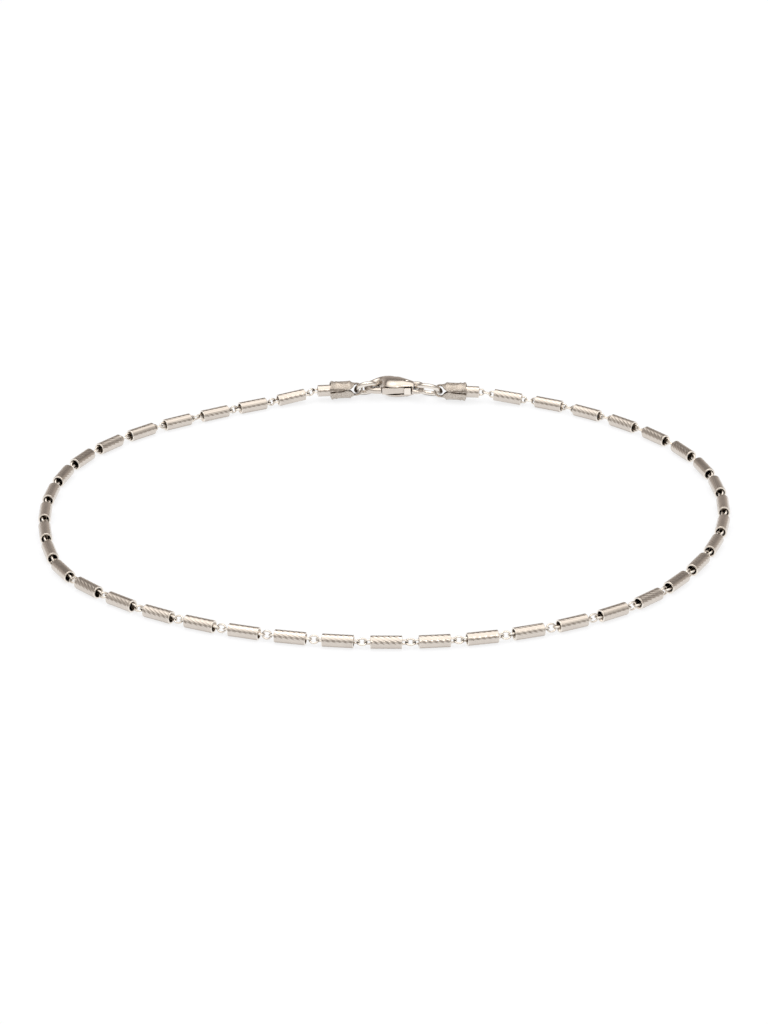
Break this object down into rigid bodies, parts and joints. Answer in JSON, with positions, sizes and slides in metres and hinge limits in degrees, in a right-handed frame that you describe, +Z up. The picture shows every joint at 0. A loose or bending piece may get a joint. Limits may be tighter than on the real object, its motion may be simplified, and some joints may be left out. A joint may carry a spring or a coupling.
{
  "type": "payal anklet",
  "caption": "Fine silver chain anklet of slim bright-cut tubes on small wire links, closed in a loop by a lobster clasp between jump rings and fold-over end caps.",
  "frame": {"origin": "middle of the overall box, on the surface that the anklet lies on", "axes": "+X to the right across the loop, +Y towards the clasp, +Z up"},
  "size_m": [0.0882, 0.0772, 0.0028],
  "materials": {
    "bright_cut_silver": "diamond-cut tube, bright facets",
    "drawn_wire_silver": "drawn and polished wire",
    "pressed_silver": "pressed sheet, fine stipple",
    "cast_silver": "cast and tumbled bright"
  },
  "bodies": {
    "chain_and_claw": {"cable_chain": "drawn_wire_silver", "end_tube_left": "bright_cut_silver", "tube_01": "bright_cut_silver", "tube_02": "bright_cut_silver", "tube_03": "bright_cut_silver", "tube_04": "bright_cut_silver", "tube_05": "bright_cut_silver", "tube_06": "bright_cut_silver", "tube_07": "bright_cut_silver", "tube_08": "bright_cut_silver", "tube_09": "bright_cut_silver", "tube_10": "bright_cut_silver", "tube_11": "bright_cut_silver", "tube_12": "bright_cut_silver", "tube_13": "bright_cut_silver", "tube_14": "bright_cut_silver", "tube_15": "bright_cut_silver", "tube_16": "bright_cut_silver", "tube_17": "bright_cut_silver", "tube_18": "bright_cut_silver", "tube_19": "bright_cut_silver", "tube_20": "bright_cut_silver", "tube_21": "bright_cut_silver", "tube_22": "bright_cut_silver", "tube_23": "bright_cut_silver", "tube_24": "bright_cut_silver", "tube_25": "bright_cut_silver", "tube_26": "bright_cut_silver", "tube_27": "bright_cut_silver", "tube_28": "bright_cut_silver", "tube_29": "bright_cut_silver", "tube_30": "bright_cut_silver", "tube_31": "bright_cut_silver", "tube_32": "bright_cut_silver", "tube_33": "bright_cut_silver", "tube_34": "bright_cut_silver", "tube_35": "bright_cut_silver", "tube_36": "bright_cut_silver", "tube_37": "bright_cut_silver", "tube_38": "bright_cut_silver", "tube_39": "bright_cut_silver", "tube_40": "bright_cut_silver", "end_tube_right": "bright_cut_silver", "end_cap_left": "pressed_silver", "end_cap_right": "pressed_silver", "jump_ring_left": "drawn_wire_silver", "jump_ring_right": "drawn_wire_silver", "clasp_body": "cast_silver", "clasp_rivet": "drawn_wire_silver"},
    "lever": {"clasp_lever": "cast_silver"}
  },
  "joints": [
    {"name": "lever_hinge", "type": "hinge", "parent": "chain_and_claw", "child": "lever", "pos_m": [0.00299, 0.03618, 0.00143], "axis": [0, 0, -1], "range_deg": [0, 15], "stiffness_Nm_per_rad": 0.004}
  ]
}
